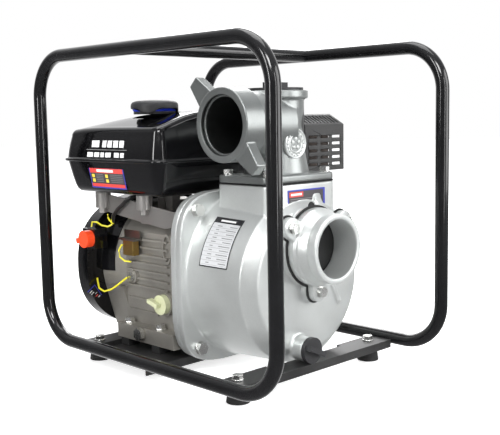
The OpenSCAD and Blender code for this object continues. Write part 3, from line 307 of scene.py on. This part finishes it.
def split_finish(name, base, other, tests):
    """Copy of a finish that changes colour where every test (axis, side, limit in mm) holds."""
    m = base.copy()
    m.name = name
    nt = m.node_tree
    b = nt.nodes["Principled BSDF"]
    tc = nt.nodes.new("ShaderNodeTexCoord")
    sep = nt.nodes.new("ShaderNodeSeparateXYZ")
    nt.links.new(tc.outputs["Object"], sep.inputs[0])
    last = None
    for axis, side, limit in tests:
        t = nt.nodes.new("ShaderNodeMath")
        t.operation = "GREATER_THAN" if side == ABOVE else "LESS_THAN"
        t.inputs[1].default_value = limit * MM
        nt.links.new(sep.outputs[axis], t.inputs[0])
        if last:
            both = nt.nodes.new("ShaderNodeMath")
            both.operation = "MULTIPLY"
            nt.links.new(last.outputs[0], both.inputs[0])
            nt.links.new(t.outputs[0], both.inputs[1])
            t = both
        last = t
    mix = nt.nodes.new("ShaderNodeMix")
    mix.data_type = "RGBA"
    colours = {i.name: i for i in mix.inputs if i.type == "RGBA"}
    colours["B"].default_value = (*other, 1)
    old = b.inputs["Base Color"].links[0].from_socket
    nt.links.new(last.outputs[0], mix.inputs[0])
    nt.links.new(old, colours["A"])
    nt.links.new(next(o for o in mix.outputs if o.type == "RGBA"), b.inputs["Base Color"])
    return m


slot_of = {s["node"]: s["material_slot"] for s in frame["record"]["subparts"]}
X_AXIS, Y_AXIS, Z_AXIS = 0, 1, 2
ABOVE, BELOW = 1, -1
# Nodes whose finish changes within one piece: painted shade inside the bores of the outlet, branch and
# casing, and real colour changes on the wires and on the oil alert unit
SPECIAL = {
    "outlet_ring_nut": painted_bore_shade("cast_alu_outlet_bore_shade", M["cast_alu_deep"], OUTLET_AT, X_AXIS, 41.2),
    "discharge_body": painted_bore_shade("cast_alu_branch_bore_shade", M["cast_alu_deep"], OUTLET_AT, X_AXIS, 38.4),
    "pump_casing": painted_bore_shade("cast_alu_casing_bore_shade", M["cast_alu"], (SHAFT_X, 0, SUCTION_Z), Y_AXIS, 44.0, 0.35),
    "engine_wires": split_finish("wire_and_sleeve", M["wire"], (0.012, 0.012, 0.012),
                                 ((Y_AXIS, BELOW, 161.0), (Z_AXIS, ABOVE, 203.0))),
    "oil_alert_unit": split_finish("unit_and_bracket", M["brass"], (0.3, 0.29, 0.27),
                                   ((Z_AXIS, ABOVE, 183.9),)),
}


def soften(o, width=0.0008, segments=2, angle=30):
    """Small rounded edges on a machined or pressed piece."""
    w = o.modifiers.new("weld", "WELD")
    w.merge_threshold = 0.00002
    b = o.modifiers.new("bevel", "BEVEL")
    b.width = width
    b.segments = segments
    b.limit_method = "ANGLE"
    b.angle_limit = math.radians(angle)
    b.harden_normals = False
    b.miter_outer = "MITER_ARC"
    for p in o.data.polygons:
        p.use_smooth = True
    s = o.modifiers.new("norm", "WEIGHTED_NORMAL")
    s.keep_sharp = True


def cast(o, voxel=0.0016, rounds=4, factor=0.45):
    """Blended fillets all over, as a casting has them."""
    w = o.modifiers.new("weld", "WELD")
    w.merge_threshold = 0.00002
    r = o.modifiers.new("remesh", "REMESH")
    r.mode = "VOXEL"
    r.voxel_size = voxel
    r.use_smooth_shade = True
    s = o.modifiers.new("smooth", "SMOOTH")
    s.factor = factor
    s.iterations = rounds


# ---------------------------------------------------------------- mesh helpers
def new_object(name, verts, faces, mats, body=MAIN, face_mats=None, smooth=True,
               replaces=()):
    """Visible piece in mm that rides on a body and the nodes that it replaces."""
    me = bpy.data.meshes.new(name)
    me.from_pydata([Vector(v) * MM for v in verts], [], faces)
    me.validate()
    for m in mats:
        me.materials.append(m)
    for i, p in enumerate(me.polygons):
        p.use_smooth = smooth
        if face_mats:
            p.material_index = face_mats[i]
    bm = bmesh.new()
    bm.from_mesh(me)
    bmesh.ops.recalc_face_normals(bm, faces=bm.faces)
    bm.to_mesh(me)
    bm.free()
    o = bpy.data.objects.new(name, me)
    bpy.context.scene.collection.objects.link(o)
    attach(o, body)
    if replaces:
        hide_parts(*replaces)
    return o


def rings_mesh(rings, close_first=True, close_last=True):
    """Skin over equal rings of points, with end caps where asked."""
    n = len(rings[0])
    verts = [p for r in rings for p in r]
    faces = []
    for k in range(len(rings) - 1):
        for i in range(n):
            a, b = k * n + i, k * n + (i + 1) % n
            faces.append((a, b, b + n, a + n))
    if close_first:
        faces.append(tuple(range(n - 1, -1, -1)))
    if close_last:
        faces.append(tuple((len(rings) - 1) * n + i for i in range(n)))
    return verts, faces


def revolve(profile, axis, centre, n=96, wobble=None):
    """profile: (radius, distance along axis). axis is 'x', 'y' or 'z'; centre in mm."""
    rings = []
    for k, (r, a) in enumerate(profile):
        ring = []
        for i in range(n):
            t = 2 * math.pi * i / n
            da = wobble(k, t) if wobble else 0
            c, s = r * math.cos(t), r * math.sin(t)
            p = {"z": (c, s, a + da), "y": (c, a + da, s), "x": (a + da, c, s)}[axis]
            ring.append((centre[0] + p[0], centre[1] + p[1], centre[2] + p[2]))
        rings.append(ring)
    return rings


def crease(o, angle=35, width=0.0006, segments=2):
    """Narrow rounded edge on a made skin."""
    b = o.modifiers.new("bevel", "BEVEL")
    b.width = width
    b.segments = segments
    b.limit_method = "ANGLE"
    b.angle_limit = math.radians(angle)
    s = o.modifiers.new("norm", "WEIGHTED_NORMAL")
    s.keep_sharp = True


def apply_mods(o):
    """Freeze a made skin's modifiers into its mesh."""
    bpy.context.view_layer.update()
    dg = bpy.context.evaluated_depsgraph_get()
    me = bpy.data.meshes.new_from_object(o.evaluated_get(dg))
    o.modifiers.clear()
    o.data = me


# ---------------------------------------------------------------- fuel tank
TX, TY = (-136.0, 68.0), (10.0, 246.0)
SEAM, SHOULDER, RISE = 305.0, 351.0, 24.0
TANK_CORNER = 21
# The top's edge is rounded by EDGE, which starts at EDGE_INSET from the side
EDGE, EDGE_INSET, TOP_INSET = 11, 7, 17


def rounded_ring(inset, count=24):
    """Rounded rectangle of the tank, moved in by inset."""
    r = max(TANK_CORNER - inset * 0.8, 4.0)
    x0, x1, y0, y1 = TX[0] + inset, TX[1] - inset, TY[0] + inset, TY[1] - inset
    pts = []
    for cx, cy, a0 in ((x1 - r, y1 - r, 0), (x0 + r, y1 - r, 90),
                       (x0 + r, y0 + r, 180), (x1 - r, y0 + r, 270)):
        for i in range(count // 4 + 1):
            a = math.radians(a0 + 90 * i / (count // 4))
            pts.append((cx + r * math.cos(a), cy + r * math.sin(a)))
    out = []
    n = len(pts)
    per = count // 4 + 1
    for i in range(n):
        out.append(pts[i])
        if i % per == per - 1:
            q = pts[(i + 1) % n]
            for k in range(1, 8):
                out.append((pts[i][0] + (q[0] - pts[i][0]) * k / 8,
                            pts[i][1] + (q[1] - pts[i][1]) * k / 8))
    return out


def tank_top(x, y):
    """Height of the crowned top: three slopes and a level, blended softly."""
    a = (x - TX[0] - 12) / 66.0
    b = (TY[1] - 12 - y) / 95.0
    c = (TX[1] - 6 - x) / 34.0
    k = 0.22
    h = -k * math.log(math.exp(-a / k) + math.exp(-b / k) + math.exp(-c / k) + math.exp(-1 / k))
    return SHOULDER + RISE * max(-0.15, h) + 1.5


def tank():
    """Painted upper and lower skins with a recess round the filler, and the seam between them."""
    rings = []
    for inset, v in ((0.0, 0.0), (0.4, 0.12), (1.5, 0.35), (3.2, 0.6), (5.2, 0.82), (7.0, 1.0)):
        rings.append([(x, y, SEAM + v * (tank_top(*p2) - EDGE - SEAM))
                      for (x, y), p2 in zip(rounded_ring(inset), rounded_ring(TOP_INSET))])
    for a in range(15, 91, 15):
        inset = EDGE_INSET + (TOP_INSET - EDGE_INSET) * (1 - math.cos(math.radians(a)))
        rings.append([(x, y, tank_top(*p2) - EDGE + EDGE * math.sin(math.radians(a)))
                      for (x, y), p2 in zip(rounded_ring(inset), rounded_ring(TOP_INSET))])
    for inset in (22, 29, 38, 48, 60, 72, 84, 94):
        rings.append([(x, y, tank_top(x, y)) for x, y in rounded_ring(inset)])
    v, f = rings_mesh(rings, True, True)
    o = new_object("tank_upper_skin", v, f, [M["tank_paint"]],
                   replaces=("tank_upper_shell",))
    cut_v, cut_f = rings_mesh(revolve([(37.5, 366), (38.5, 370), (40, 395)], "z", CAP_AT, 72))
    cutter = new_object("filler_recess_cutter", cut_v, cut_f, [M["tank_paint"]])
    b = o.modifiers.new("recess", "BOOLEAN")
    b.object = cutter
    b.solver = "EXACT"
    apply_mods(o)
    bpy.data.objects.remove(cutter)
    crease(o, 50, 0.0012, 3)

    low = []
    for inset, z in ((24, 254.4), (17.5, 255.6), (13.2, 259.5), (10.2, 266),
                     (6.4, 279), (2.8, 294), (1.0, 302), (0.6, 304.9)):
        low.append([(x, y, z) for x, y in rounded_ring(inset)])
    v, f = rings_mesh(low)
    o = new_object("tank_lower_skin", v, f, [M["tank_paint"]],
                   replaces=("tank_lower_shell",))
    crease(o, 50, 0.0015, 3)

    seam = []
    for inset, z in ((0.5, 302.6), (-2.8, 302.8), (-3.7, 303.6), (-4.0, 305),
                     (-3.7, 306.2), (-2.8, 307), (-0.6, 307.1), (0.8, 309.2)):
        seam.append([(x, y, z) for x, y in rounded_ring(inset)])
    v, f = rings_mesh(seam, False, False)
    new_object("tank_seam", v, f, [M["tank_paint"]])


def fuel_cap():
    """Cap with three lobes over a blue ring, and a dark ring below it that stands for the cap's neck and is
    also painted shade in the recess under the cap.
    """
    blue = material("cap_blue", (0.01, 0.03, 0.42), rough=0.35, tint=0.1)
    ring = [(24.6, 375.6), (30.0, 375.6), (32.2, 377.0), (33.4, 382)]
    # Black ring under the blue one: the cap's neck, and also painted shade in the recess round it
    neck_and_recess_shade = [(24.4, 372.1), (31, 372.1), (31.4, 372.6), (31.4, 376)]
    dome = [(34.3, 380.2), (35.2, 380.2), (35.5, 381.6), (35.5, 384.6), (34.9, 387.4), (32.8, 389.8),
            (29, 391.4), (22, 392.4), (13, 392.9), (5, 393.0)]
    lobe_drop, lobe_phase, lobe_rings = 7.0, 1.33, 3

    def scallop(k, t):
        if k >= lobe_rings:
            return 0
        w = max(0.0, math.cos(3 * t + lobe_phase))
        return -lobe_drop * (w ** 1.1) * (1 - k * 0.05)

    plastic = M["black_plastic"]
    v, f = rings_mesh(revolve(ring, "z", CAP_AT, 96), False, False)
    new_object("fuel_cap_ring", v, f, [blue], body="fuel_cap")
    v, f = rings_mesh(revolve(neck_and_recess_shade, "z", CAP_AT, 96), False, False)
    new_object("fuel_cap_neck_and_recess_shade", v, f, [plastic], body="fuel_cap")
    v, f = rings_mesh(revolve(dome, "z", CAP_AT, 144, scallop), True, True)
    o = new_object("fuel_cap_dome", v, f, [plastic], body="fuel_cap",
                   replaces=("fuel_cap",))
    crease(o, 40, 0.0005, 2)


# ---------------------------------------------------------------- stickers
def flat_mat(name, color, rough=0.4):
    return material(name, color, rough=rough, tint=0.04, blotch=40, grain=600)


def sticker(name, at, items, mats, cells=1):
    """Flat patches of ink. items: (u0, v0, u1, v1, material index, lift). at(u, v, lift) is in mm."""
    verts, faces, fm = [], [], []
    for u0, v0, u1, v1, mi, lift in items:
        nu = max(1, int(round(cells * abs(u1 - u0) / 6)))
        nv = max(1, int(round(cells * abs(v1 - v0) / 6)))
        base = len(verts)
        for j in range(nv + 1):
            for i in range(nu + 1):
                verts.append(at(u0 + (u1 - u0) * i / nu, v0 + (v1 - v0) * j / nv, lift))
        for j in range(nv):
            for i in range(nu):
                a = base + j * (nu + 1) + i
                faces.append((a, a + 1, a + nu + 2, a + nu + 1))
                fm.append(mi)
    new_object(name, verts, faces, mats, face_mats=fm, smooth=False)


def stickers():
    """Blank stickers: plain bars and blocks, with no lettering."""
    white = flat_mat("ink_white", (0.75, 0.75, 0.75))
    black = flat_mat("ink_black", (0.012, 0.012, 0.014))
    grey = flat_mat("ink_grey", (0.18, 0.18, 0.18))
    paper = flat_mat("paper_white", (0.50, 0.51, 0.52), 0.5)
    blue = flat_mat("ink_blue", (0.03, 0.04, 0.36))
    red = flat_mat("ink_red", (0.62, 0.05, 0.04))
    yellow = flat_mat("ink_yellow", (0.7, 0.55, 0.05))
    dark = flat_mat("ink_dark", (0.05, 0.045, 0.05))

    # Plain dashes and a line on the tank's side
    def side(u, v, lift):
        t = (v - SEAM) / (SHOULDER - SEAM)
        return (TX[0] + 7 * max(0.0, t) ** 1.35 - lift, u, v)
    items = [(80, 320.4, 181, 321.4, 1, 0.35)]
    for a, b in ((88, 99), (102, 114), (117, 128), (131, 141), (149, 168)):
        items.append((a, 324.5, b, 334.5, 0, 0.35))
    for a, b in ((86, 95), (98, 110), (118, 132), (135, 144), (147, 160), (163, 178)):
        items.append((a, 310, b, 317, 0, 0.35))
    sticker("tank_dashes", side, items, [white, grey])

    # Coloured sticker on the lower tank
    def lower(u, v, lift):
        t = (304 - v) / 40.0
        return (TX[0] + 1 + 8.5 * max(0.0, t) - lift, u, v)
    items = [(93, 263, 180, 295, 0, PAPER), (95, 265, 178, 293, 1, PANEL),
             (95, 286, 178, 293, 2, PRINT), (95, 265, 178, 270, 2, PRINT),
             (118, 287.5, 160, 291.5, 3, TOP_PRINT)]
    for k in range(5):
        z = 272.5 + k * 2.7
        items.append((98, z, 128, z + 0.9, 4, PRINT))
        items.append((146, z, 164, z + 0.9, 4, PRINT))
    for y in (137, 171):
        for z in (272, 279):
            items.append((y - 3.5, z, y + 3.5, z + 5, 5, PRINT))
    sticker("tank_lower_sticker", lower, items, [blue, dark, red, white, grey, yellow])

    # Small mark on the front face of the shroud
    def rimface(u, v, lift):
        a = math.radians(35)
        du, dv = u * math.cos(a) - v * math.sin(a), u * math.sin(a) + v * math.cos(a)
        return (-120.5 + du, 194.3 - lift, 97 + dv)
    items = [(-10, 9, 6, 10.2, 0, PAPER), (6, -12, 7.2, 10.2, 0, PAPER), (-8, 5, -2, 6.4, 1, PAPER),
             (-7, 1, -1, 2.4, 1, PAPER),
             (-1, -3, 3, -1.8, 1, PAPER), (-3, -7, 2, -5.6, 2, PAPER), (0, -11, 4, -9.6, 1, PAPER)]
    sticker("shroud_mark", rimface, items, [blue, white, red])

    # Plain label on the front of the casing's neck
    def neck(u, v, lift):
        return (u, NECK_FRONT_Y - lift, v)
    items = [(-23, 240, 54, 265, 0, PAPER), (-21, 244, 50, 263, 1, PANEL),
             (-20, 255, 8, 262, 2, PRINT), (-17, 257, 5, 260, 4, TOP_PRINT)]
    for k in range(3):
        items.append((-18, 245.5 + k * 3, 46 - 6 * k, 246.6 + k * 3, 3, PRINT))
    sticker("neck_label", neck, items, [blue, dark, red, grey, white])

    # White plate on the casing's side, bent to the barrel
    def plate(u, v, lift):
        r = CASING_RADIUS + (u + 123) / 103.0 * CASING_FLARE + lift
        a = math.radians(v)
        return (SHAFT_X + r * math.cos(a), u, SHAFT_Z + r * math.sin(a))
    items = [(-98.5, 133, -45.5, 168, 0, PAPER), (-96.9, 133.8, -47.1, 167.2, 1, PANEL),
             (-96.9, 133.8, -47.1, 137.6, 0, PRINT)]
    for k in range(10):
        a = 139.6 + k * 2.8
        items.append((-94.5, a, -94.5 + 14 + (k * 5) % 9, a + 0.55, 2, PRINT))
        items.append((-66 + (k * 3) % 4, a, -57 + (k * 7) % 7, a + 0.55, 2, PRINT))
        items.append((-96, a + 1.5, -48, a + 1.66, 2, PRINT))
    items.append((-86, 135, -58, 136.4, 3, TOP_PRINT))
    sticker("casing_plate", plate, items, [black, paper, grey, white], cells=2)


# ---------------------------------------------------------------- cast badge on the discharge body
def badge():
    """Neutral relief: a disc with two rims, a ring of small dots and five larger ones inside."""
    prof = [(21.5, -118), (21, -121.8), (20.2, -122.4), (19, -122.4), (18.4, -121.6), (13.4, -121.6),
            (12.8, -122.3), (11.8, -122.3), (11.2, -121.5), (0.6, -121.5)]
    v, f = rings_mesh(revolve(prof, "y", BADGE_AT, 72))
    new_object("badge_disc", v, f, [M["cast_alu"]])
    verts, faces = [], []

    def dots(count, ring, phase, dot, sides):
        for k in range(count):
            t = 2 * math.pi * k / count + phase
            at = (BADGE_AT[0] + ring * math.cos(t), 0, BADGE_AT[2] + ring * math.sin(t))
            dv, df = rings_mesh(revolve(dot, "y", at, sides))
            base = len(verts)
            verts.extend(dv)
            faces.extend(tuple(base + i for i in q) for q in df)

    dots(18, 15.8, 0.0, [(1.5, -121), (1.4, -122.2), (0.9, -122.6)], 12)
    dots(5, 6.4, 0.3, [(3.1, -121), (2.8, -122.4), (1.8, -123)], 16)
    new_object("badge_dots", verts, faces, [M["cast_alu"]])


camera()
studio()
# Castings, with the size of their fillets' grid in metres
CAST = {"pump_casing": 0.0016, "discharge_body": 0.0014, "suction_port": 0.0013, "outlet_ring_nut": 0.0013,
        "pump_adapter": 0.0017}
for n, o in nodes.items():
    o.data.materials.clear()
    o.data.materials.append(SPECIAL.get(n, M[slot_of[n]]))
    if n in CAST:
        cast(o, CAST[n])
    else:
        soften(o)
tank()
fuel_cap()
stickers()
badge()
